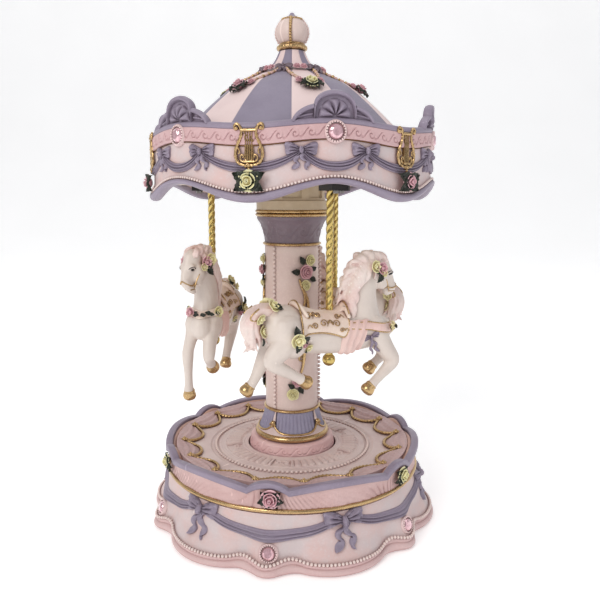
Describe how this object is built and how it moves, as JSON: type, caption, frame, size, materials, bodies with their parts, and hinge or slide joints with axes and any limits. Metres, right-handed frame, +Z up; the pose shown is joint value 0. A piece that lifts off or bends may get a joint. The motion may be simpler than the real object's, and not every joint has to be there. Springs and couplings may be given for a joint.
{
  "type": "carousel music box",
  "caption": "Wind-up musical carousel: scalloped base with movement and key, fixed column, and a turning canopy from which horses hang on poles that slide up and down.",
  "frame": {"origin": "on the carousel's axis, at the surface that the felt ring under the base stands on", "axes": "+Z up along the axis; -Y towards the viewer of the front; +X to that viewer's right"},
  "size_m": [0.173, 0.17, 0.29],
  "materials": {
    "cream_resin": "painted resin, satin, faint antiquing in the recesses",
    "pink_resin": "painted resin, satin, dusty pink",
    "lavender_resin": "painted resin, satin, dusty lavender",
    "white_resin": "painted resin, satin, off white",
    "gold_paint": "antique gold paint on resin",
    "brass": "polished brass plate",
    "rose_pink": "painted resin bloom, pink",
    "rose_yellow": "painted resin bloom, pale yellow",
    "leaf_green": "painted resin leaves, near black green",
    "pearl": "painted resin beads, slight sheen",
    "crystal": "pink rhinestone",
    "silver": "pale bead setting round the stone",
    "cream_plastic": "moulded plastic, cream",
    "black_plastic": "moulded plastic, black",
    "steel": "plated steel",
    "felt": "dark felt"
  },
  "bodies": {
    "base": {"felt_ring": "felt", "base_shell": "cream_resin", "base_plate": "black_plastic", "base_screws": "steel", "base_trim_ring": "gold_paint", "gallery_band": "pink_resin", "gallery_rim": "lavender_resin", "deck_plate": "pink_resin", "deck_pearls": "pearl", "deck_drapes": "pink_resin", "deck_rope": "gold_paint", "base_swags": "lavender_resin", "base_roses": "rose_pink", "base_leaves": "leaf_green", "base_settings": "silver", "base_jewels": "crystal", "base_pearls": "pearl", "column_collar": "pink_resin", "column_foot": "lavender_resin", "column_rings": "gold_paint", "column_shaft": "pink_resin", "column_capital": "lavender_resin", "column_pearls": "pearl", "column_vines": "gold_paint", "cam_housing": "cream_plastic", "cam_ring": "cream_plastic", "movement_plate": "steel", "movement_bridge": "steel", "comb": "steel"},
    "carousel": {"canopy_roof": "lavender_resin", "canopy_fascia": "cream_resin", "canopy_lip": "lavender_resin", "canopy_pearls": "pearl", "canopy_crests": "lavender_resin", "ceiling_plate": "cream_plastic", "canopy_swags": "lavender_resin", "canopy_lyres": "gold_paint", "canopy_roses": "rose_yellow", "canopy_leaves": "leaf_green", "canopy_settings": "silver", "canopy_jewels": "crystal", "roof_garland": "gold_paint", "finial_ring": "gold_paint", "finial": "pink_resin", "pole_guides": "black_plastic", "guide_screws": "steel", "drive_shaft": "steel", "spring_drum": "brass"},
    "horse_body_1": {"horse_1": "white_resin", "pole_1": "brass", "follower_1": "black_plastic"},
    "horse_body_2": {"horse_2": "white_resin", "pole_2": "brass", "follower_2": "black_plastic"},
    "horse_body_3": {"horse_3": "white_resin", "pole_3": "brass", "follower_3": "black_plastic"},
    "cylinder": {"music_cylinder": "brass"},
    "fly": {"governor": "brass"},
    "key": {"winding_key": "steel"}
  },
  "joints": [
    {"name": "carousel_spin", "type": "hinge", "parent": "base", "child": "carousel", "pos_m": [0, 0, 0.2], "axis": [0, 0, 1], "continuous": true},
    {"name": "cylinder_spin", "type": "hinge", "parent": "base", "child": "cylinder", "pos_m": [0.027, 0, 0.02], "axis": [0, 0, 1], "continuous": true},
    {"name": "fly_spin", "type": "hinge", "parent": "base", "child": "fly", "pos_m": [0.027, 0.018, 0.02], "axis": [0, 0, 1], "continuous": true},
    {"name": "key_wind", "type": "hinge", "parent": "base", "child": "key", "pos_m": [0, 0, 0.005], "axis": [0, 0, 1], "continuous": true},
    {"name": "horse_1_lift", "type": "slide", "parent": "carousel", "child": "horse_body_1", "axis": [0, 0, 1], "range_m": [0, 0.01]},
    {"name": "horse_2_lift", "type": "slide", "parent": "carousel", "child": "horse_body_2", "axis": [0, 0, 1], "range_m": [0, 0.01]},
    {"name": "horse_3_lift", "type": "slide", "parent": "carousel", "child": "horse_body_3", "axis": [0, 0, 1], "range_m": [0, 0.01]}
  ],
  "couplings": [
    {"joint": "cylinder_spin", "follows": "carousel_spin", "ratio": -4},
    {"joint": "fly_spin", "follows": "carousel_spin", "ratio": 16},
    {"joint": "horse_2_lift", "follows": "horse_1_lift", "ratio": 1},
    {"joint": "horse_3_lift", "follows": "horse_1_lift", "ratio": 1}
  ]
}
